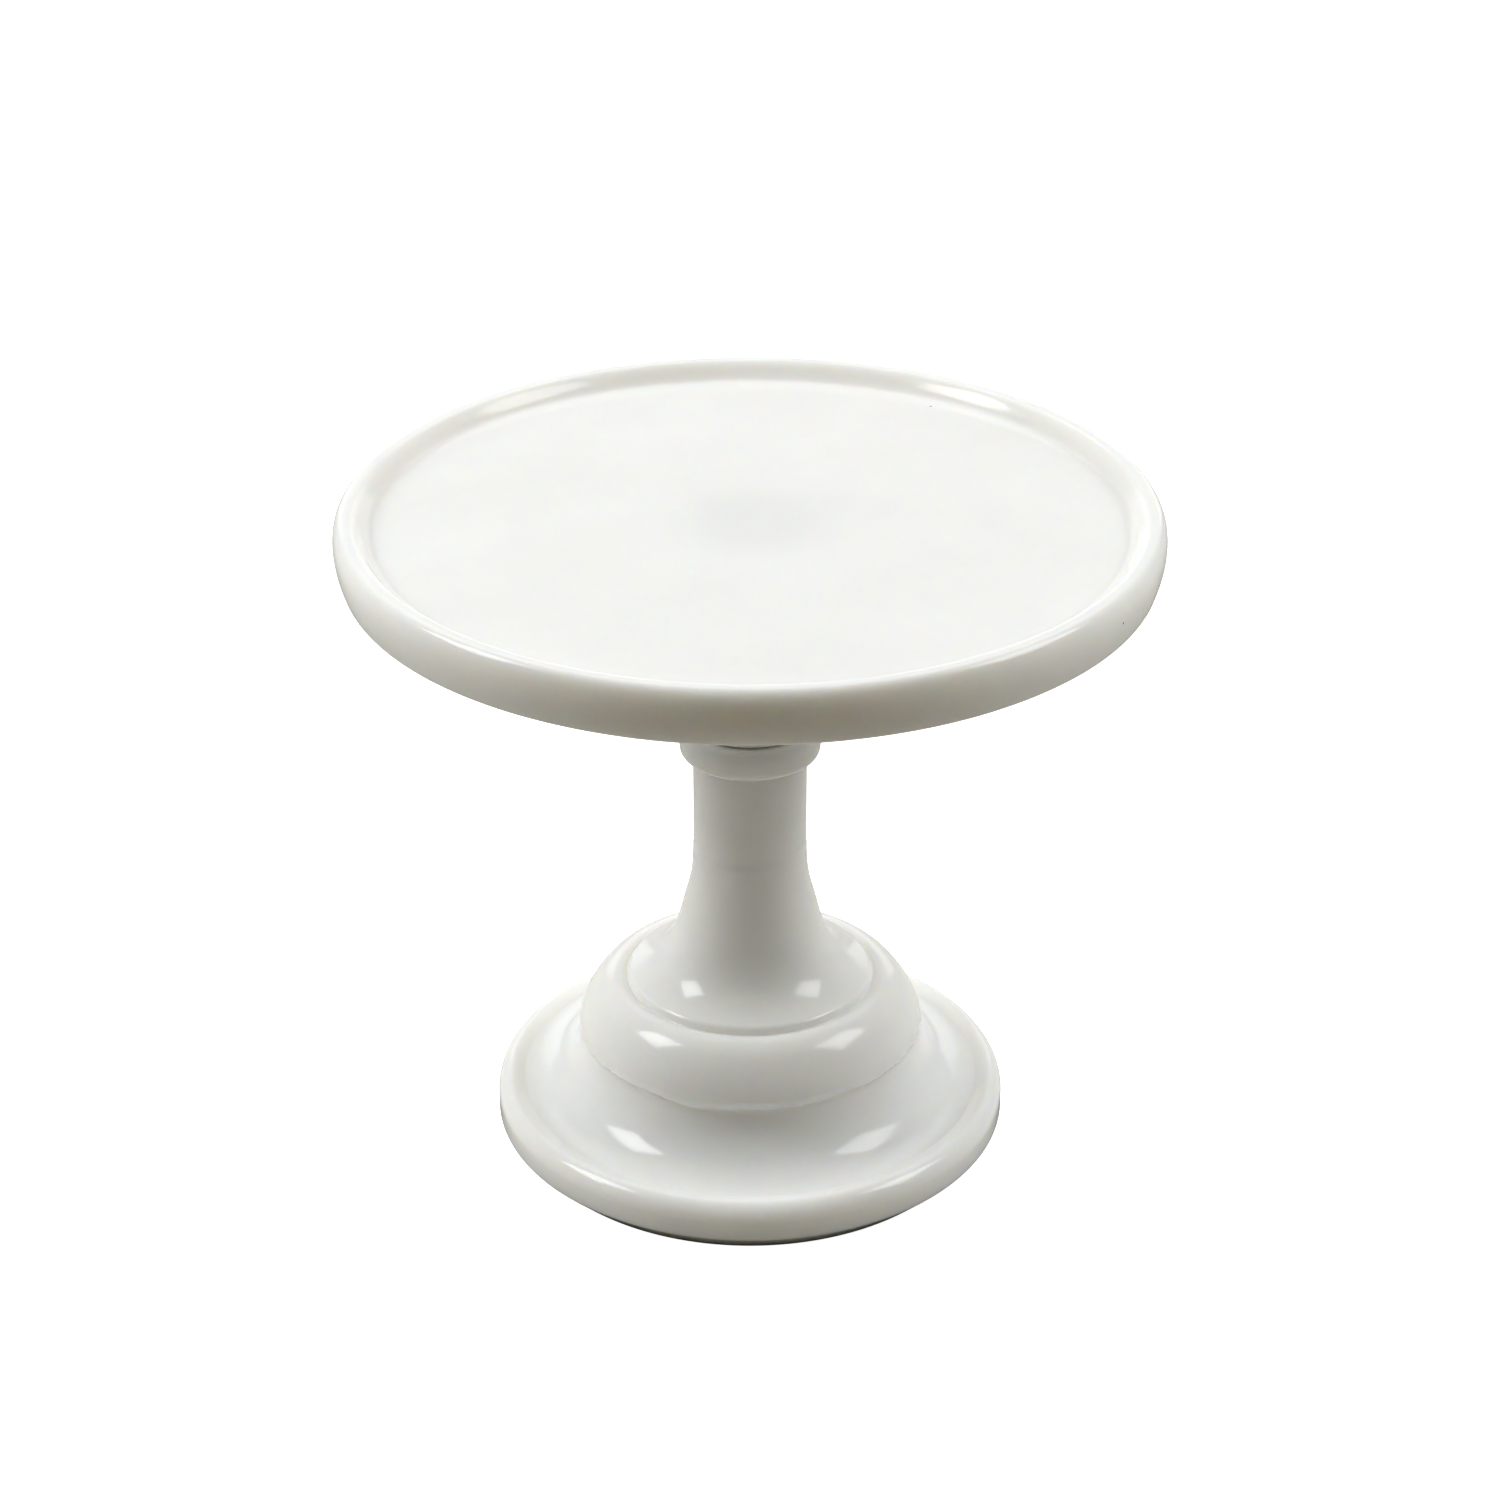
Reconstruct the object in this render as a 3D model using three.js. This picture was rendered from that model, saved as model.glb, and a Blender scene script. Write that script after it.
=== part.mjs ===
// Footed cake stand in pressed opal glass, in millimetres with +Z up.
// The origin is on the floor at the centre of the foot.
//
// Two pressings make the stand: a rimmed plate with a neck under it, and a pedestal with a hollow foot.
// A clear film of adhesive bonds the neck to the top of the pedestal.
import * as THREE from 'three';

// Plate
const PLATE_RADIUS = 76.2;
const STAND_HEIGHT = 132.5;
const WIDEST_BELOW_CREST = 4.0;
const LIP_CREST_RADIUS = 74.0;
const LIP_CREST_FLAT = 0.8;
const WELL_RADIUS = 68.8;
const WELL_DEPTH = 3.2;
const RIM_HEIGHT = 10.5;
const RIM_FOOT_RADIUS = 74.9;
const RIM_FOOT_ROUND = 0.6;
const RIM_UNDER_WIDTH = 1.6;
const PLATE_THICKNESS = 5.8;
const UNDERSIDE_RADIUS = 68.0;
const NECK_FILLET = 15.0;

// Bond between the plate's neck and the pedestal
const NECK_RADIUS = 12.0;
const BOND_HEIGHT = 88.5;
const BOND_THICKNESS = 0.3;
const BOND_CLEARANCE = 0.1;
const BOND_SETBACK = 0.5;
const CORNER_ROUND = 0.3;

// Pedestal collar and stem
const COLLAR_RADIUS = 13.45;
const COLLAR_WIDEST_HEIGHT = 84.6;
const COLLAR_FOOT_RADIUS = 12.35;
const COLLAR_FOOT_HEIGHT = 81.95;
const COLLAR_UNDERCUT = 0.5;
const STEM_RADIUS = 10.85;
const STEM_FOOT_HEIGHT = 62.4;

// Flare from the stem out to the shoulder, and the small step below it
const FLARE_RADIUS = 13.2;
const FLARE_HEIGHT = 48.4;
const SHOULDER_RADIUS = 23.3;
const SHOULDER_HEIGHT = 34.8;
const STEP_HEIGHT = 1.1;
const STEP_WIDTH = 0.7;

// Rounded band below the step, ending at a ridge
const BAND_RADIUS = 33.3;
const BAND_FOOT_HEIGHT = 24.1;
const RIDGE_PROUD = 0.35;
const RIDGE_HEIGHT = 1.1;

// Dished foot, its raised rim and its undercut
const DISH_RADIUS = 11.4;
const DISH_LOW_RADIUS = 44.45;
const DISH_LOW_HEIGHT = 11.0;
const FOOT_CREST_RADIUS = 47.1;
const FOOT_CREST_HEIGHT = 11.6;
const FOOT_RADIUS = 49.8;
const FOOT_WALL_TOP = 8.2;
const FOOT_EDGE_HEIGHT = 4.65;
const FOOT_EDGE_ROUND = 0.4;
const CONTACT_RADIUS = 45.0;
const CONTACT_WIDTH = 3.5;

// Hollow pressed up into the foot
const HOLLOW_HEIGHT = 30.0;
const HOLLOW_WAIST_RADIUS = 29.0;
const HOLLOW_WAIST_HEIGHT = 14.0;

// Tangents at the ends of the curved stretches, as [outwards, upwards] in the direction of travel.
// A longer tangent keeps the curve straight for longer.
const UNDERSIDE_TANGENT = [2.0, 0];
const RIM_FOOT_TANGENT = [0.6, 1.8];
const PLATE_EDGE_TANGENT = [0, 2.4];
const LIP_CREST_TANGENT = [-1.3, 0];
const LIP_INNER_TANGENT = [-1.8, 0];
const WELL_TANGENT = [-2.2, 0];
const HOLLOW_CROWN_TANGENT = [13.0, 0];
const HOLLOW_WAIST_TANGENT = [8.0, -4.9];
const CONTACT_TANGENT = [1.2, -6.0];
const FOOT_WALL_TANGENT = [0, 2.1];
const FOOT_CREST_TANGENT = [-0.8, 0];
const DISH_LOW_TANGENT = [-0.5, 0];
const BAND_FOOT_TANGENT = [-0.3, 2.3];
const BAND_TOP_TANGENT = [-4.3, 0.5];
const SHOULDER_TANGENT = [-7.3, 3.2];
const FLARE_TANGENT = [-1.3, 5.4];
const STEM_FOOT_TANGENT = [-0.1, 7.7];
const COLLAR_FOOT_TANGENT = [0.73, 0.47];
const COLLAR_SIDE_TANGENT = [0, 1.7];
const COLLAR_TOP_TANGENT = [-0.97, 0.27];
const UPWARDS = [0, 1];

// Facets
const AROUND = 60;
const FACET_LENGTH = 2.6;

// Opal glass and clear adhesive
const opalGlass = () => new THREE.MeshStandardMaterial({ color: 0xe9e8e0, roughness: 0.12, metalness: 0 });
const clearAdhesive = () => new THREE.MeshStandardMaterial({ color: 0x8c8a80, roughness: 0.4, metalness: 0 });

// The outline as points, with each curved stretch cut into facets of about the same length.
function facetPoints(outline) {
  const points = [outline.curves[0].getPoint(0)];
  for (const curve of outline.curves) {
    const steps = curve.isLineCurve ? 1 : Math.max(2, Math.ceil(curve.getLength() / FACET_LENGTH));
    points.push(...curve.getPoints(steps).slice(1));
  }
  return points;
}

// A solid of revolution about +Z from an outline of (radius, height) that starts and ends on the axis.
function turned(name, outline, material) {
  const geometry = new THREE.LatheGeometry(facetPoints(outline), AROUND);
  geometry.rotateX(Math.PI / 2);
  const mesh = new THREE.Mesh(geometry, material);
  mesh.name = name;
  return mesh;
}

// A straight run to a corner, which is rounded off, leaving it in the direction of heading.
function roundedCorner(outline, radius, height, heading, round) {
  const corner = new THREE.Vector2(radius, height);
  const start = outline.currentPoint.clone().sub(corner).setLength(round).add(corner);
  const finish = new THREE.Vector2(...heading).setLength(round).add(corner);
  outline.lineTo(start.x, start.y);
  outline.quadraticCurveTo(corner.x, corner.y, finish.x, finish.y);
}

// A curve to (radius, height) that leaves along one tangent and arrives along another.
function bend(outline, leaving, radius, height, arriving) {
  const from = outline.currentPoint;
  outline.bezierCurveTo(
    from.x + leaving[0], from.y + leaving[1],
    radius - arriving[0], height - arriving[1],
    radius, height,
  );
}

// From the neck's bonded face, out under the plate, round the rim and back across the well.
function plateOutline() {
  const neckFoot = BOND_HEIGHT + BOND_THICKNESS / 2 + BOND_CLEARANCE;
  const wellHeight = STAND_HEIGHT - WELL_DEPTH;
  const underside = wellHeight - PLATE_THICKNESS;
  const rimFoot = STAND_HEIGHT - RIM_HEIGHT;
  const widest = STAND_HEIGHT - WIDEST_BELOW_CREST;
  const filletFoot = underside - NECK_FILLET;
  const filletEdge = NECK_RADIUS + NECK_FILLET;

  const outline = new THREE.Path();
  outline.moveTo(0, neckFoot);
  roundedCorner(outline, NECK_RADIUS, neckFoot, UPWARDS, CORNER_ROUND);
  outline.absarc(filletEdge, filletFoot, NECK_FILLET, Math.PI, Math.PI / 2, true);
  outline.lineTo(UNDERSIDE_RADIUS, underside);
  bend(outline, UNDERSIDE_TANGENT, RIM_FOOT_RADIUS - RIM_UNDER_WIDTH, rimFoot, UNDERSIDE_TANGENT);
  roundedCorner(outline, RIM_FOOT_RADIUS, rimFoot, RIM_FOOT_TANGENT, RIM_FOOT_ROUND);
  bend(outline, RIM_FOOT_TANGENT, PLATE_RADIUS, widest, PLATE_EDGE_TANGENT);
  bend(outline, PLATE_EDGE_TANGENT, LIP_CREST_RADIUS, STAND_HEIGHT, LIP_CREST_TANGENT);
  outline.lineTo(LIP_CREST_RADIUS - LIP_CREST_FLAT, STAND_HEIGHT);
  bend(outline, LIP_INNER_TANGENT, WELL_RADIUS, wellHeight, WELL_TANGENT);
  outline.lineTo(0, wellHeight);
  return outline;
}

// From the hollow's crown down to the contact ring, then up over the foot to the collar's bonded face.
function pedestalOutline() {
  const top = BOND_HEIGHT - BOND_THICKNESS / 2 - BOND_CLEARANCE;
  const outline = new THREE.Path();
  addHollow(outline);
  addFootRim(outline);
  addDish(outline);
  addBand(outline);
  addFlare(outline);
  addCollar(outline, top);
  outline.lineTo(0, top);
  return outline;
}

// The hollow's crown on the axis, its waist, and its wall down to the contact ring.
function addHollow(outline) {
  outline.moveTo(0, HOLLOW_HEIGHT);
  bend(outline, HOLLOW_CROWN_TANGENT, HOLLOW_WAIST_RADIUS, HOLLOW_WAIST_HEIGHT, HOLLOW_WAIST_TANGENT);
  bend(outline, HOLLOW_WAIST_TANGENT, CONTACT_RADIUS - CONTACT_WIDTH, 0, CONTACT_TANGENT);
}

// The flat contact ring, the undercut, the upright wall and the rounded crest.
function addFootRim(outline) {
  const undercut = [FOOT_RADIUS - CONTACT_RADIUS, FOOT_EDGE_HEIGHT];
  roundedCorner(outline, CONTACT_RADIUS, 0, undercut, CORNER_ROUND);
  roundedCorner(outline, FOOT_RADIUS, FOOT_EDGE_HEIGHT, UPWARDS, FOOT_EDGE_ROUND);
  outline.lineTo(FOOT_RADIUS, FOOT_WALL_TOP);
  bend(outline, FOOT_WALL_TANGENT, FOOT_CREST_RADIUS, FOOT_CREST_HEIGHT, FOOT_CREST_TANGENT);
}

// From the rim's crest down into the dish, then up its cove until it stands upright under the ridge.
function addDish(outline) {
  bend(outline, FOOT_CREST_TANGENT, DISH_LOW_RADIUS, DISH_LOW_HEIGHT, DISH_LOW_TANGENT);
  outline.absarc(DISH_LOW_RADIUS, DISH_LOW_HEIGHT + DISH_RADIUS, DISH_RADIUS, 1.5 * Math.PI, Math.PI, true);
  outline.lineTo(DISH_LOW_RADIUS - DISH_RADIUS, BAND_FOOT_HEIGHT - RIDGE_HEIGHT);
}

// The ridge that stands a little proud, then the band rounding inwards to the step.
function addBand(outline) {
  const stepFoot = SHOULDER_HEIGHT - STEP_HEIGHT;
  outline.lineTo(BAND_RADIUS + RIDGE_PROUD, BAND_FOOT_HEIGHT - RIDGE_HEIGHT / 2);
  outline.lineTo(BAND_RADIUS, BAND_FOOT_HEIGHT);
  bend(outline, BAND_FOOT_TANGENT, SHOULDER_RADIUS + STEP_WIDTH, stepFoot, BAND_TOP_TANGENT);
}

// The step, then the shoulder and the concave flare up to the foot of the stem.
function addFlare(outline) {
  outline.lineTo(SHOULDER_RADIUS, SHOULDER_HEIGHT);
  bend(outline, SHOULDER_TANGENT, FLARE_RADIUS, FLARE_HEIGHT, FLARE_TANGENT);
  bend(outline, FLARE_TANGENT, STEM_RADIUS, STEM_FOOT_HEIGHT, STEM_FOOT_TANGENT);
}

// The stem, the collar's undercut edge, and the bead that swells below the bonded face.
function addCollar(outline, top) {
  const undercut = [COLLAR_FOOT_RADIUS - STEM_RADIUS, COLLAR_UNDERCUT];
  roundedCorner(outline, STEM_RADIUS, COLLAR_FOOT_HEIGHT - COLLAR_UNDERCUT, undercut, CORNER_ROUND);
  outline.lineTo(COLLAR_FOOT_RADIUS, COLLAR_FOOT_HEIGHT);
  bend(outline, COLLAR_FOOT_TANGENT, COLLAR_RADIUS, COLLAR_WIDEST_HEIGHT, COLLAR_SIDE_TANGENT);
  bend(outline, COLLAR_SIDE_TANGENT, NECK_RADIUS, top, COLLAR_TOP_TANGENT);
}

// The adhesive film, set back a little from the neck's edge.
function bondOutline() {
  const radius = NECK_RADIUS - BOND_SETBACK;
  const foot = BOND_HEIGHT - BOND_THICKNESS / 2;
  const outline = new THREE.Path();
  outline.moveTo(0, foot);
  outline.lineTo(radius, foot);
  outline.lineTo(radius, foot + BOND_THICKNESS);
  outline.lineTo(0, foot + BOND_THICKNESS);
  return outline;
}

const stand = new THREE.Group();
stand.add(turned('pedestal', pedestalOutline(), opalGlass()));
stand.add(turned('bond_film', bondOutline(), clearAdhesive()));
stand.add(turned('plate', plateOutline(), opalGlass()));

export default stand;
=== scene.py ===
import math

import bpy
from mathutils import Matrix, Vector, noise


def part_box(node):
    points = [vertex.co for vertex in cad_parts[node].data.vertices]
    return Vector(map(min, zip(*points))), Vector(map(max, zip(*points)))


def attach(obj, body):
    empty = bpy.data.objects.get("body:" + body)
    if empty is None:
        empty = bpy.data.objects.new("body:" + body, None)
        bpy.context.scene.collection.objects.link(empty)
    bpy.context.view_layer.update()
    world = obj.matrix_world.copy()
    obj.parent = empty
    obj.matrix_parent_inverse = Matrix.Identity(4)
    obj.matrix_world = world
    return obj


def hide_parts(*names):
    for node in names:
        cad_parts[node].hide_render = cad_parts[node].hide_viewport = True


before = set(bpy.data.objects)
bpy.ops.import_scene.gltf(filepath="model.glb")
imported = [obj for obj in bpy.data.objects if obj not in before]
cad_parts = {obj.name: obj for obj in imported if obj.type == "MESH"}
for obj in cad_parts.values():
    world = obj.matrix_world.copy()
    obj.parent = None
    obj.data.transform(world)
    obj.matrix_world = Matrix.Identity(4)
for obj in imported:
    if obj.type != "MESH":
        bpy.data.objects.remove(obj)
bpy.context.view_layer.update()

MM = 0.001

# ---------------------------------------------------------------- sizes, the overall ones from model.glb
plate_low, plate_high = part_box("plate")
pedestal_low, pedestal_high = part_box("pedestal")
film_low, film_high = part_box("bond_film")

PLATE_RADIUS = plate_high.x / MM
STAND_HEIGHT = plate_high.z / MM
NECK_FOOT = plate_low.z / MM
FOOT_RADIUS = pedestal_high.x / MM
COLLAR_TOP = pedestal_high.z / MM
FILM_RADIUS = film_high.x / MM

# Plate
WIDEST_HEIGHT = STAND_HEIGHT - 4.0
LIP_CREST_RADIUS = 74.0
LIP_CREST_FLAT = 0.8
WELL_RADIUS = 68.8
WELL_HEIGHT = STAND_HEIGHT - 3.2
RIM_FOOT_HEIGHT = STAND_HEIGHT - 10.5
RIM_FOOT_RADIUS = 74.9
RIM_FOOT_ROUND = 0.6
RIM_INNER_RADIUS = RIM_FOOT_RADIUS - 1.6
UNDERSIDE_RADIUS = 68.0
UNDERSIDE_HEIGHT = WELL_HEIGHT - 5.8
NECK_RADIUS = 12.0
NECK_FILLET = 15.0
CORNER_ROUND = 0.3

# Pedestal
COLLAR_RADIUS = 13.45
COLLAR_WIDEST_HEIGHT = 84.6
COLLAR_FOOT_RADIUS = 12.35
COLLAR_FOOT_HEIGHT = 81.95
COLLAR_UNDERCUT = 0.5
COLLAR_EDGE_ROUND = 0.15
STEM_RADIUS = 10.85
STEM_FOOT_HEIGHT = 62.4
STEM_STEP = 0.1
FLARE_RADIUS = 13.2
FLARE_HEIGHT = 48.4
SHOULDER_RADIUS = 23.3
SHOULDER_HEIGHT = 34.8
STEP_HEIGHT = 1.1
STEP_WIDTH = 0.7
STEP_ROUND = 0.55
GROOVE_DEPTH = 0.35
GROOVE_WIDTH = 0.7
GROOVE_ROUND = 0.25
BAND_RADIUS = 33.3
BAND_FOOT_HEIGHT = 24.1
RIDGE_PROUD = 0.5
RIDGE_CREST_BELOW = 0.7
RIDGE_ROUND = 0.4
RIDGE_CREASE_ROUND = 0.3
DISH_RADIUS = 11.4
DISH_LOW_RADIUS = 44.45
DISH_LOW_HEIGHT = 11.0
FOOT_CREST_RADIUS = 47.1
FOOT_CREST_HEIGHT = 11.6
FOOT_WALL_TOP = 8.2
FOOT_EDGE_HEIGHT = 4.65
FOOT_EDGE_ROUND = 0.4
CONTACT_RADIUS = 45.0
CONTACT_WIDTH = 3.5
HOLLOW_HEIGHT = 30.0
HOLLOW_WAIST_RADIUS = 29.0
HOLLOW_WAIST_HEIGHT = 14.0

# Tangents at the ends of the curved stretches, as (outwards, upwards) in the direction of travel
UNDERSIDE_TANGENT = (2.0, 0)
RIM_FOOT_TANGENT = (0.6, 1.8)
PLATE_EDGE_TANGENT = (0, 2.4)
LIP_CREST_TANGENT = (-1.3, 0)
LIP_INNER_TANGENT = (-1.8, 0)
WELL_TANGENT = (-2.2, 0)
HOLLOW_CROWN_TANGENT = (13.0, 0)
HOLLOW_WAIST_TANGENT = (8.0, -4.9)
CONTACT_TANGENT = (1.2, -6.0)
FOOT_WALL_TANGENT = (0, 2.1)
FOOT_CREST_TANGENT = (-0.8, 0)
DISH_LOW_TANGENT = (-0.5, 0)
BAND_FOOT_TANGENT = (-0.3, 2.3)
BAND_TOP_TANGENT = (-4.3, 0.5)
SHOULDER_TANGENT = (-7.3, 3.2)
FLARE_TANGENT = (-1.3, 5.4)
STEM_FOOT_TANGENT = (-0.1, 7.7)
COLLAR_FOOT_TANGENT = (0.73, 0.47)
COLLAR_SIDE_TANGENT = (0, 1.7)
COLLAR_TOP_TANGENT = (-0.97, 0.27)
UPWARDS = (0, 1)


# ---------------------------------------------------------------- outlines and solids of revolution
ON_AXIS = 1e-6


class Outline:
    """A line of (radius, height) points. Its pieces turn by TURN at most and are RUN long at most."""

    RUN = 1.4
    TURN = math.radians(5)
    LEAST_STEPS = 3
    CORNER_FULLNESS = 2 / 3

    def __init__(self, radius, height):
        self.points = [Vector((radius, height))]

    def line(self, radius, height):
        start = self.points[-1]
        end = Vector((radius, height))
        steps = max(1, math.ceil((end - start).length / self.RUN))
        self.points += [start.lerp(end, i / steps) for i in range(1, steps + 1)]

    def bend(self, leaving, radius, height, arriving):
        """A cubic curve that leaves along one tangent and arrives along another."""
        start, end = self.points[-1], Vector((radius, height))
        first, second = start + Vector(leaving), end - Vector(arriving)
        turn = (first - start).angle(second - first, 0) + (second - first).angle(end - second, 0)
        run = (first - start).length + (second - first).length + (end - second).length
        steps = max(self.LEAST_STEPS, math.ceil(turn / self.TURN), math.ceil(run / self.RUN))
        for i in range(1, steps + 1):
            t = i / steps
            s = 1 - t
            near = s * s * s * start + 3 * s * s * t * first
            far = 3 * s * t * t * second + t * t * t * end
            self.points.append(near + far)

    def corner(self, radius, height, heading, size):
        """A straight run to a rounded corner, leaving it in the direction of heading."""
        corner = Vector((radius, height))
        before = (corner - self.points[-1]).normalized() * size
        after = Vector(heading).normalized() * size
        self.line(*(corner - before))
        self.bend(before * self.CORNER_FULLNESS, *(corner + after), after * self.CORNER_FULLNESS)

    def arc(self, centre, radius, start, end):
        """An arc about centre, between two angles in degrees."""
        steps = max(2, math.ceil(abs(math.radians(end - start)) / self.TURN))
        for i in range(1, steps + 1):
            angle = math.radians(start + (end - start) * i / steps)
            self.points.append(Vector(centre) + radius * Vector((math.cos(angle), math.sin(angle))))


def outward(points, i):
    """The unit normal of an outline at point i, to the right of its direction of travel."""
    along = points[min(i + 1, len(points) - 1)] - points[max(i - 1, 0)]
    return Vector((along.y, -along.x)).normalized()


def level(radius, height, angle):
    return 0


def add_ring(vertices, point, normal, around, relief, sway):
    """One ring of a solid of revolution, or its single vertex on the axis, as a list of vertex numbers."""
    if point.x < ON_AXIS:
        vertices.append((0, 0, point.y * MM))
        return [len(vertices) - 1]
    for k in range(around):
        angle = 2 * math.pi * k / around
        lift = relief(point.x, point.y, angle)
        radius = point.x + normal.x * lift
        height = point.y + normal.y * lift + sway(point.x, point.y, angle)
        vertices.append((radius * math.cos(angle) * MM, radius * math.sin(angle) * MM, height * MM))
    return list(range(len(vertices) - around, len(vertices)))


def faces_between(low, high):
    """The faces between two neighbouring rings, either of which may be a single vertex on the axis."""
    around = max(len(low), len(high))
    for k in range(around):
        n = (k + 1) % around
        if len(low) == 1:
            yield low[0], high[n], high[k]
        elif len(high) == 1:
            yield low[k], low[n], high[0]
        else:
            yield low[k], low[n], high[n], high[k]


def turned(name, outline, around, relief, sway=level):
    """A closed mesh of revolution about Z. relief lifts it along its normal and sway raises it."""
    points = outline.points
    vertices, faces = [], []
    rings = [
        add_ring(vertices, point, outward(points, i), around, relief, sway) for i, point in enumerate(points)
    ]
    for low, high in zip(rings, rings[1:]):
        faces += faces_between(low, high)
    mesh = bpy.data.meshes.new(name)
    mesh.from_pydata(vertices, [], faces)
    mesh.update()
    mesh.shade_smooth()
    piece = bpy.data.objects.new(name, mesh)
    bpy.context.scene.collection.objects.link(piece)
    return piece


# ---------------------------------------------------------------- outlines of the two pressings
def plate_outline():
    """Up the neck, out under the plate, round the rim, over the lip and back across the well."""
    outline = Outline(0, NECK_FOOT)
    fillet_foot = UNDERSIDE_HEIGHT - NECK_FILLET
    outline.corner(NECK_RADIUS, NECK_FOOT, UPWARDS, CORNER_ROUND)
    outline.line(NECK_RADIUS, fillet_foot)
    outline.arc((NECK_RADIUS + NECK_FILLET, fillet_foot), NECK_FILLET, 180, 90)
    outline.line(UNDERSIDE_RADIUS, UNDERSIDE_HEIGHT)
    outline.bend(UNDERSIDE_TANGENT, RIM_INNER_RADIUS, RIM_FOOT_HEIGHT, UNDERSIDE_TANGENT)
    outline.corner(RIM_FOOT_RADIUS, RIM_FOOT_HEIGHT, RIM_FOOT_TANGENT, RIM_FOOT_ROUND)
    outline.bend(RIM_FOOT_TANGENT, PLATE_RADIUS, WIDEST_HEIGHT, PLATE_EDGE_TANGENT)
    outline.bend(PLATE_EDGE_TANGENT, LIP_CREST_RADIUS, STAND_HEIGHT, LIP_CREST_TANGENT)
    outline.line(LIP_CREST_RADIUS - LIP_CREST_FLAT, STAND_HEIGHT)
    outline.bend(LIP_INNER_TANGENT, WELL_RADIUS, WELL_HEIGHT, WELL_TANGENT)
    outline.line(0, WELL_HEIGHT)
    return outline


def pedestal_outline():
    """From the hollow's crown down to the contact ring, then up over the foot to the collar's top."""
    outline = Outline(0, HOLLOW_HEIGHT)
    outline.bend(HOLLOW_CROWN_TANGENT, HOLLOW_WAIST_RADIUS, HOLLOW_WAIST_HEIGHT, HOLLOW_WAIST_TANGENT)
    outline.bend(HOLLOW_WAIST_TANGENT, CONTACT_RADIUS - CONTACT_WIDTH, 0, CONTACT_TANGENT)
    outline.corner(CONTACT_RADIUS, 0, (FOOT_RADIUS - CONTACT_RADIUS, FOOT_EDGE_HEIGHT), CORNER_ROUND)
    outline.corner(FOOT_RADIUS, FOOT_EDGE_HEIGHT, UPWARDS, FOOT_EDGE_ROUND)
    outline.line(FOOT_RADIUS, FOOT_WALL_TOP)
    outline.bend(FOOT_WALL_TANGENT, FOOT_CREST_RADIUS, FOOT_CREST_HEIGHT, FOOT_CREST_TANGENT)
    outline.bend(FOOT_CREST_TANGENT, DISH_LOW_RADIUS, DISH_LOW_HEIGHT, DISH_LOW_TANGENT)
    outline.arc((DISH_LOW_RADIUS, DISH_LOW_HEIGHT + DISH_RADIUS), DISH_RADIUS, 270, 180)
    add_band(outline)
    add_flare(outline)
    add_collar(outline)
    outline.line(0, COLLAR_TOP)
    return outline


def add_band(outline):
    """The rounded ridge over the cove, and the band that rounds inwards to the step."""
    ridge_top = (-RIDGE_PROUD, RIDGE_CREST_BELOW)
    outline.corner(BAND_RADIUS + RIDGE_PROUD, BAND_FOOT_HEIGHT - RIDGE_CREST_BELOW, ridge_top, RIDGE_ROUND)
    outline.corner(BAND_RADIUS, BAND_FOOT_HEIGHT, BAND_FOOT_TANGENT, RIDGE_CREASE_ROUND)
    step_foot = SHOULDER_HEIGHT - STEP_HEIGHT
    band_top = SHOULDER_RADIUS + STEP_WIDTH + 2 * GROOVE_WIDTH
    outline.bend(BAND_FOOT_TANGENT, band_top, step_foot, BAND_TOP_TANGENT)


def add_flare(outline):
    """The groove, the shoulder's rounded edge above it and the concave flare up to the stem."""
    groove = Vector((SHOULDER_RADIUS + STEP_WIDTH, SHOULDER_HEIGHT - STEP_HEIGHT - GROOVE_DEPTH))
    shoulder = Vector((SHOULDER_RADIUS, SHOULDER_HEIGHT))
    band_edge = groove + Vector((GROOVE_WIDTH, GROOVE_DEPTH))
    outline.corner(*band_edge, groove - band_edge, GROOVE_ROUND)
    outline.corner(*groove, shoulder - groove, GROOVE_ROUND)
    outline.corner(SHOULDER_RADIUS, SHOULDER_HEIGHT, SHOULDER_TANGENT, STEP_ROUND)
    outline.bend(SHOULDER_TANGENT, FLARE_RADIUS, FLARE_HEIGHT, FLARE_TANGENT)
    outline.bend(FLARE_TANGENT, STEM_RADIUS + STEM_STEP, STEM_FOOT_HEIGHT - STEM_STEP, STEM_FOOT_TANGENT)
    outline.line(STEM_RADIUS, STEM_FOOT_HEIGHT)


def add_collar(outline):
    """The stem, the collar's undercut edge and the bead up to the bonded face."""
    undercut = (COLLAR_FOOT_RADIUS - STEM_RADIUS, COLLAR_UNDERCUT)
    outline.corner(STEM_RADIUS, COLLAR_FOOT_HEIGHT - COLLAR_UNDERCUT, undercut, CORNER_ROUND)
    outline.corner(COLLAR_FOOT_RADIUS, COLLAR_FOOT_HEIGHT, COLLAR_FOOT_TANGENT, COLLAR_EDGE_ROUND)
    outline.bend(COLLAR_FOOT_TANGENT, COLLAR_RADIUS, COLLAR_WIDEST_HEIGHT, COLLAR_SIDE_TANGENT)
    outline.bend(COLLAR_SIDE_TANGENT, NECK_RADIUS, COLLAR_TOP, COLLAR_TOP_TANGENT)


# ---------------------------------------------------------------- surface relief
# The slow swell of fire-polished glass: how far apart the swells are, and how deep they go
PLATE_SWELL = 23
WELL_DEPTH = 0.02
RIM_DEPTH = 0.05
PEDESTAL_SWELL = 11
PEDESTAL_DEPTH = 0.05

# Faint bands round the plate's rim
RIM_BAND_DEPTH = 0.012
RIM_BANDS_PER_MM = 1.1
RIM_BAND_REACH = 4

# Raised lines from the mould's three sides, which sit a little round from each other above and below
SEAMS = 3
SEAM_WIDTH = 0.22
SEAM_LIFT = 0.05
FIRST_SEAM = math.radians(-83.4)
LOWER_SEAM_SHIFT = math.radians(-5.0)

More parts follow.
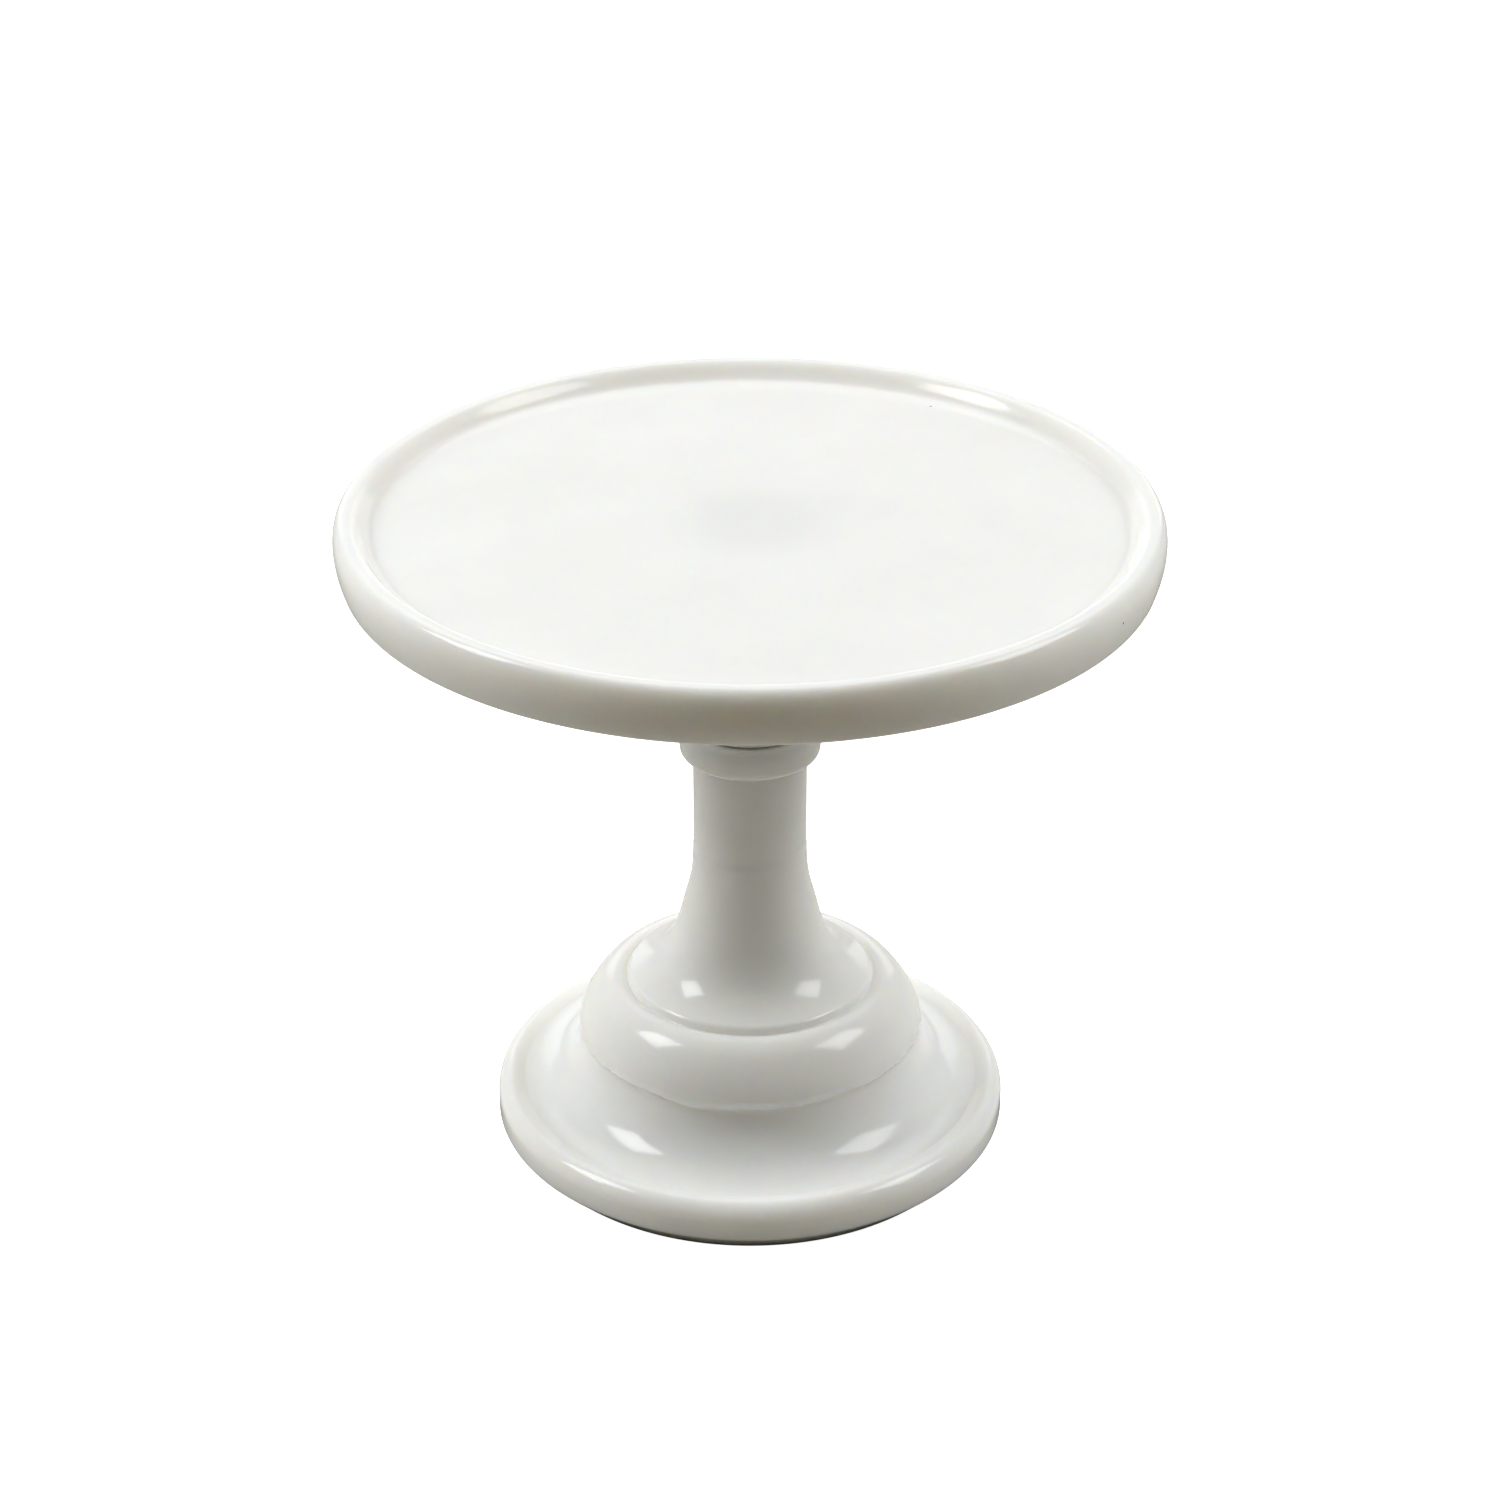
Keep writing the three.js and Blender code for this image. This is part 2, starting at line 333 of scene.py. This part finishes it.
# The ridge's lumps and wander, as (how many to the radian, depth)
RIDGE_REACH = 0.5
RIDGE_LUMPS = ((7, 0.25), (21, 0.18))
RIDGE_SWAY_REACH = 2.5
RIDGE_TILT = 0.45
RIDGE_SWAYS = ((2.5, 0.8), (9, 0.3))


def unevenness(radius, height, angle, size, depth):
    """The slow swell of fire-polished glass, never proud of the drawn outline."""
    place = Vector((radius * math.cos(angle), radius * math.sin(angle), height)) / size
    return depth * (noise.noise(place) - 1) / 2


def bump_at(distance, width):
    """A rounded bump, 1 at no distance and near 0 past width."""
    return math.exp(-((distance / width) ** 2))


def round_noise(angle, start, waves):
    """Noise that closes on itself round the axis, as a sum of waves of (how many to the radian, depth)."""
    around = Vector((math.cos(angle), math.sin(angle), start))
    return sum(depth * noise.noise(around * count) for count, depth in waves)


def plate_relief(radius, height, angle):
    if height < RIM_FOOT_HEIGHT - 1 and radius < NECK_RADIUS + 1:
        return 0
    depth = WELL_DEPTH if radius < WELL_RADIUS else RIM_DEPTH
    lift = unevenness(radius, height, angle, PLATE_SWELL, depth)
    if radius > LIP_CREST_RADIUS:
        band = noise.noise(Vector((math.cos(angle), math.sin(angle), height * RIM_BANDS_PER_MM))) - 1
        middle = (WIDEST_HEIGHT + RIM_FOOT_HEIGHT) / 2
        lift += RIM_BAND_DEPTH * band * bump_at(height - middle, RIM_BAND_REACH)
    return lift


def seam(radius, height, angle):
    """The fine raised lines of the mould."""
    start = FIRST_SEAM if height > STEM_FOOT_HEIGHT else FIRST_SEAM + LOWER_SEAM_SHIFT
    lift = 0
    for i in range(SEAMS):
        turn = math.remainder(angle - start - 2 * math.pi * i / SEAMS, 2 * math.pi)
        lift += bump_at(turn * radius, SEAM_WIDTH)
    return SEAM_LIFT * lift


def pedestal_relief(radius, height, angle):
    if height < FOOT_EDGE_HEIGHT - 1 or height > COLLAR_TOP - 1:
        return 0
    lift = unevenness(radius, height, angle, PEDESTAL_SWELL, PEDESTAL_DEPTH)
    if radius < NECK_RADIUS + 1:
        lift += seam(radius, height, angle)
    if radius > BAND_RADIUS - 1:
        above_ridge = height - (BAND_FOOT_HEIGHT - RIDGE_CREST_BELOW)
        lift += bump_at(above_ridge, RIDGE_REACH) * round_noise(angle, 0.53, RIDGE_LUMPS)
    return lift


def ridge_sway(radius, height, angle):
    """How far the ridge wanders up and down round the band."""
    if radius < BAND_RADIUS - 2:
        return 0
    wander = RIDGE_TILT * math.cos(angle) + round_noise(angle, 1.9, RIDGE_SWAYS)
    return bump_at(height - BAND_FOOT_HEIGHT, RIDGE_SWAY_REACH) * wander


# ---------------------------------------------------------------- materials
def node(tree, kind, **inputs):
    """A shader node with some of its inputs set. A space in an input's name is written as an underscore."""
    made = tree.nodes.new(kind)
    for name, value in inputs.items():
        made.inputs[name.replace("_", " ")].default_value = value
    return made


def maths(tree, operation, first, second):
    """A maths node of one socket and either another socket or a value."""
    made = tree.nodes.new("ShaderNodeMath")
    made.operation = operation
    tree.links.new(first, made.inputs[0])
    if isinstance(second, float):
        made.inputs[1].default_value = second
    else:
        tree.links.new(second, made.inputs[1])
    return made.outputs["Value"]


def scaled(tree, vector, factors):
    made = tree.nodes.new("ShaderNodeVectorMath")
    made.operation = "MULTIPLY"
    made.inputs[1].default_value = factors
    tree.links.new(vector, made.inputs[0])
    return made.outputs["Vector"]


def length(tree, vector):
    made = tree.nodes.new("ShaderNodeVectorMath")
    made.operation = "LENGTH"
    tree.links.new(vector, made.inputs[0])
    return made.outputs["Value"]


def mapped(tree, value, start, end, low, high, smooth=False):
    """Value taken from the range start..end to the range low..high, and held at its ends."""
    made = node(tree, "ShaderNodeMapRange", From_Min=start, From_Max=end, To_Min=low, To_Max=high)
    if smooth:
        made.interpolation_type = "SMOOTHSTEP"
    tree.links.new(value, made.inputs["Value"])
    return made.outputs["Result"]


def clouds(tree, place, scale, detail, roughness=0.5):
    made = node(tree, "ShaderNodeTexNoise", Scale=scale, Detail=detail, Roughness=roughness)
    tree.links.new(place, made.inputs["Vector"])
    return made.outputs["Fac"]


def toned(tree, value, stops):
    """Value taken to a colour, by stops of (position, colour)."""
    made = tree.nodes.new("ShaderNodeValToRGB")
    for element, (position, colour) in zip(made.color_ramp.elements, stops):
        element.position = position
        element.color = (*colour, 1)
    tree.links.new(value, made.inputs["Fac"])
    return made.outputs["Color"]


def blended(tree, factor, socket, colour):
    """The colour on a socket, with another colour over it as far as factor says."""
    made = tree.nodes.new("ShaderNodeMix")
    made.data_type = "RGBA"
    made.inputs["B"].default_value = (*colour, 1)
    tree.links.new(factor, made.inputs["Factor"])
    tree.links.new(socket, made.inputs["A"])
    return made.outputs["Result"]


OPAL_DARKER = (0.860, 0.860, 0.832)
OPAL_PALER = (0.890, 0.890, 0.866)
SHADE_COLOUR = (0.3, 0.3, 0.28)
SHADE_STRENGTH = 0.08
SHADE_FROM = 0.004
SHADE_TO = 0.019
SHADE_ABOVE = 0.127
SPECK_COLOUR = (0.06, 0.055, 0.05)
SPECK_CELLS = 62
SPECK_CORE = 0.011
SPECK_EDGE = 0.016
SPECK_SHARE = 0.3


def well_shade(tree, place):
    """A faint shade in the middle of the well, where the neck below it lets no light through."""
    axes = tree.nodes.new("ShaderNodeSeparateXYZ")
    tree.links.new(place, axes.inputs[0])
    from_axis = length(tree, scaled(tree, place, (1, 1, 0)))
    shade = mapped(tree, from_axis, SHADE_FROM, SHADE_TO, SHADE_STRENGTH, 0, smooth=True)
    return maths(tree, "MULTIPLY", shade, maths(tree, "GREATER_THAN", axes.outputs["Z"], SHADE_ABOVE))


def specks(tree, place):
    """Sparse dark specks: a small spot in the middle of some cells."""
    cells = node(tree, "ShaderNodeTexVoronoi", Scale=SPECK_CELLS, Randomness=1)
    tree.links.new(place, cells.inputs["Vector"])
    spot = mapped(tree, cells.outputs["Distance"], SPECK_CORE, SPECK_EDGE, 1, 0)
    chance = tree.nodes.new("ShaderNodeSeparateColor")
    tree.links.new(cells.outputs["Color"], chance.inputs["Color"])
    return maths(tree, "MULTIPLY", spot, maths(tree, "LESS_THAN", chance.outputs["Red"], SPECK_SHARE))


def opal_glass():
    """White glass that light goes a few millimetres into, glossy, with a cloudy tone and a fine skin."""
    material = bpy.data.materials.new("opal_glass_look")
    material.use_nodes = True
    tree = material.node_tree
    glass = tree.nodes["Principled BSDF"]
    glass.inputs["IOR"].default_value = 1.5
    glass.inputs["Subsurface Weight"].default_value = 0.8
    glass.inputs["Subsurface Radius"].default_value = (1.0, 0.82, 0.6)
    glass.inputs["Subsurface Scale"].default_value = 0.0045
    place = tree.nodes.new("ShaderNodeTexCoord").outputs["Object"]

    tone = toned(tree, clouds(tree, place, 38, 3, 0.55), ((0.3, OPAL_DARKER), (0.7, OPAL_PALER)))
    tone = blended(tree, well_shade(tree, place), tone, SHADE_COLOUR)
    tone = blended(tree, specks(tree, place), tone, SPECK_COLOUR)
    tree.links.new(tone, glass.inputs["Base Color"])

    gloss = mapped(tree, clouds(tree, place, 90, 2), 0, 1, 0.08, 0.14)
    tree.links.new(gloss, glass.inputs["Roughness"])
    bump = node(tree, "ShaderNodeBump", Strength=0.1, Distance=0.0001)
    tree.links.new(clouds(tree, place, 420, 2), bump.inputs["Height"])
    tree.links.new(bump.outputs["Normal"], glass.inputs["Normal"])
    return material


def adhesive():
    """Cured clear adhesive, coloured dark as painted shade for its thin gap."""
    material = bpy.data.materials.new("adhesive_painted_shade_look")
    material.use_nodes = True
    tree = material.node_tree
    glue = tree.nodes["Principled BSDF"]
    glue.inputs["Roughness"].default_value = 0.35
    place = tree.nodes.new("ShaderNodeTexCoord").outputs["Object"]
    # Painted shade: dark tones that stand in for the shade in the thin gap, on adhesive that is really clear
    tone = toned(tree, clouds(tree, place, 300, 2), ((0, (0.13, 0.12, 0.09)), (1, (0.32, 0.3, 0.25))))
    tree.links.new(tone, glue.inputs["Base Color"])
    return material


# ---------------------------------------------------------------- pieces
PLATE_AROUND = 400
PEDESTAL_AROUND = 340
FILM_AROUND = 200
FILM_EDGE = 0.2
FILM_RAGGED = 0.1
FILM_TANGENT = (0.15, 0)
FILM_EDGE_TANGENT = (0, 0.08)


def place_piece(piece, node_name, material):
    piece.data.materials.append(material)
    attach(piece, "root")
    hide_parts(node_name)


def film_outline():
    """A thin disc with a rounded edge."""
    foot, top = film_low.z / MM, film_high.z / MM
    outline = Outline(0, foot)
    outline.line(FILM_RADIUS - FILM_EDGE, foot)
    outline.bend(FILM_TANGENT, FILM_RADIUS, (foot + top) / 2, FILM_EDGE_TANGENT)
    outline.bend(FILM_EDGE_TANGENT, FILM_RADIUS - FILM_EDGE, top, (-FILM_TANGENT[0], 0))
    outline.line(0, top)
    return outline


def film_relief(radius, height, angle):
    """The ragged edge of adhesive that was pressed out."""
    if radius < FILM_RADIUS - 1:
        return 0
    around = Vector((math.cos(angle) * 4, math.sin(angle) * 4, 1.3))
    return FILM_RAGGED * (noise.noise(around) - 1)


def add_stand():
    glass = opal_glass()
    plate = turned("plate_glass", plate_outline(), PLATE_AROUND, plate_relief)
    place_piece(plate, "plate", glass)
    pedestal = turned("pedestal_glass", pedestal_outline(), PEDESTAL_AROUND, pedestal_relief, ridge_sway)
    place_piece(pedestal, "pedestal", glass)
    film = turned("adhesive_film", film_outline(), FILM_AROUND, film_relief)
    place_piece(film, "bond_film", adhesive())


# ---------------------------------------------------------------- camera
CAMERA_LENS = 85.54
CAMERA_PLACE = (0, -0.5974, 0.3954)
CAMERA_TILT = math.radians(62.328)


def add_camera():
    data = bpy.data.cameras.new("camera")
    data.lens = CAMERA_LENS
    data.sensor_width = 36
    camera = bpy.data.objects.new("camera", data)
    camera.location = CAMERA_PLACE
    camera.rotation_euler = (CAMERA_TILT, 0, 0)
    bpy.context.scene.collection.objects.link(camera)
    bpy.context.scene.camera = camera


# ---------------------------------------------------------------- floor and light
FLOOR_HALF = 3.0
FLOOR_SHADE_FROM = 0.05
FLOOR_SHADE_TO = 0.06
FLOOR_DARK = 0.02
FLOOR_PALE = 0.62
FLOOR_FADE_FROM = 0.07
FLOOR_FADE_TO = 0.2
FLOOR_FAR = 0.55
FLOOR_TINT = (1, 0.96, 0.86)
FLOOR_SEEN = (0.8, 0.8, 0.8, 1)
FLOOR_GLOW = 1.0


def floor_to_the_stand(tree):
    """How the floor looks to the stand, its light and shade painted in: painted shade close round the foot,
    then pale, and dimmer far away.
    """
    place = tree.nodes.new("ShaderNodeTexCoord").outputs["Object"]
    away = length(tree, place)
    # Painted shade: the floor dark close round the foot, standing in for the stand's own shade
    shade = mapped(tree, away, FLOOR_SHADE_FROM, FLOOR_SHADE_TO, FLOOR_DARK, FLOOR_PALE)
    fade = mapped(tree, away, FLOOR_FADE_FROM, FLOOR_FADE_TO, 1, FLOOR_FAR)
    matt = tree.nodes.new("ShaderNodeBsdfDiffuse")
    pale = maths(tree, "MULTIPLY", shade, fade)
    tree.links.new(scaled(tree, pale, FLOOR_TINT), matt.inputs["Color"])
    return matt.outputs[0]


def floor_to_the_camera(tree):
    """How the floor looks to the camera: white."""
    lit = node(tree, "ShaderNodeBsdfDiffuse", Color=FLOOR_SEEN)
    glow = node(tree, "ShaderNodeEmission", Color=(1, 1, 1, 1), Strength=FLOOR_GLOW)
    seen = tree.nodes.new("ShaderNodeAddShader")
    tree.links.new(lit.outputs[0], seen.inputs[0])
    tree.links.new(glow.outputs[0], seen.inputs[1])
    return seen.outputs[0]


def stage_switch(tree, kind, to_the_rest, to_the_camera):
    """Ends a material or a world with one shader for the camera's own rays and another for the rest."""
    path = tree.nodes.new("ShaderNodeLightPath")
    mix = tree.nodes.new("ShaderNodeMixShader")
    output = tree.nodes.new(kind)
    tree.links.new(path.outputs["Is Camera Ray"], mix.inputs[0])
    tree.links.new(to_the_rest, mix.inputs[1])
    tree.links.new(to_the_camera, mix.inputs[2])
    tree.links.new(mix.outputs[0], output.inputs["Surface"])


def add_floor():
    """A plain pale table top."""
    mesh = bpy.data.meshes.new("floor")
    h = FLOOR_HALF
    mesh.from_pydata([(-h, -h, 0), (h, -h, 0), (h, h, 0), (-h, h, 0)], [], [(0, 1, 2, 3)])
    floor = bpy.data.objects.new("floor", mesh)
    bpy.context.scene.collection.objects.link(floor)
    material = bpy.data.materials.new("floor_look")
    material.use_nodes = True
    tree = material.node_tree
    tree.nodes.clear()
    stage_switch(tree, "ShaderNodeOutputMaterial", floor_to_the_stand(tree), floor_to_the_camera(tree))
    mesh.materials.append(material)


def add_world():
    """A dim room, plain white where the camera sees it."""
    world = bpy.data.worlds.new("room")
    bpy.context.scene.world = world
    world.use_nodes = True
    tree = world.node_tree
    tree.nodes.clear()
    dim = node(tree, "ShaderNodeBackground", Color=(1, 0.94, 0.8, 1), Strength=0.05)
    white = node(tree, "ShaderNodeBackground", Strength=1.2)
    stage_switch(tree, "ShaderNodeOutputWorld", dim.outputs[0], white.outputs[0])


LIT_MIDDLE = Vector((0, 0, 0.06))
COOL = (0.97, 0.985, 1)
WARM = (1, 0.92, 0.75)


def add_area(name, azimuth, elevation, distance, size, radiance, colour=COOL, mirrored=True):
    """A soft box aimed at the stand's middle. Azimuth 0 is the camera's side, positive to the right."""
    data = bpy.data.lights.new(name, "AREA")
    data.shape = "RECTANGLE"
    data.size, data.size_y = size
    data.energy = radiance * math.pi * data.size * data.size_y
    data.color = colour
    light = bpy.data.objects.new(name, data)
    a, e = math.radians(azimuth), math.radians(elevation)
    offset = Vector((math.sin(a) * math.cos(e), -math.cos(a) * math.cos(e), math.sin(e))) * distance
    light.location = LIT_MIDDLE + offset
    light.rotation_euler = offset.to_track_quat("Z", "Y").to_euler()
    light.visible_camera = False
    light.visible_glossy = mirrored
    bpy.context.scene.collection.objects.link(light)


def add_lights():
    """A soft box on each side that the glass mirrors, and wide light from the sides, behind and in front."""
    add_area("panel_left", -114, 42, 1.2, (1.2, 1.0), 1.8, mirrored=False)
    add_area("panel_right", 118, 44, 1.2, (1.2, 1.0), 1.35, mirrored=False)
    add_area("box_left", -86, 44, 0.6, (0.21, 0.26), 6.0)
    add_area("box_right", 86, 44, 0.6, (0.27, 0.26), 4.4)
    add_area("core_left", -86, 44, 0.6, (0.12, 0.14), 5.5)
    add_area("core_right", 86, 44, 0.6, (0.15, 0.14), 4.0)
    add_area("low_left", -112, 14, 1.2, (1.0, 0.5), 1.9, mirrored=False)
    add_area("low_right", 118, 14, 1.2, (1.0, 0.5), 1.7, mirrored=False)
    add_area("back_panel", 180, 52, 1.2, (1.2, 0.6), 0.9)
    add_area("backdrop", 180, 12, 1.3, (1.5, 0.5), 0.9)
    add_area("front_fill", 0, 18, 1.2, (1.6, 0.4), 0.14, WARM, mirrored=False)


add_stand()
add_camera()
add_floor()
add_world()
add_lights()
bpy.context.scene.view_settings.view_transform = "Standard"
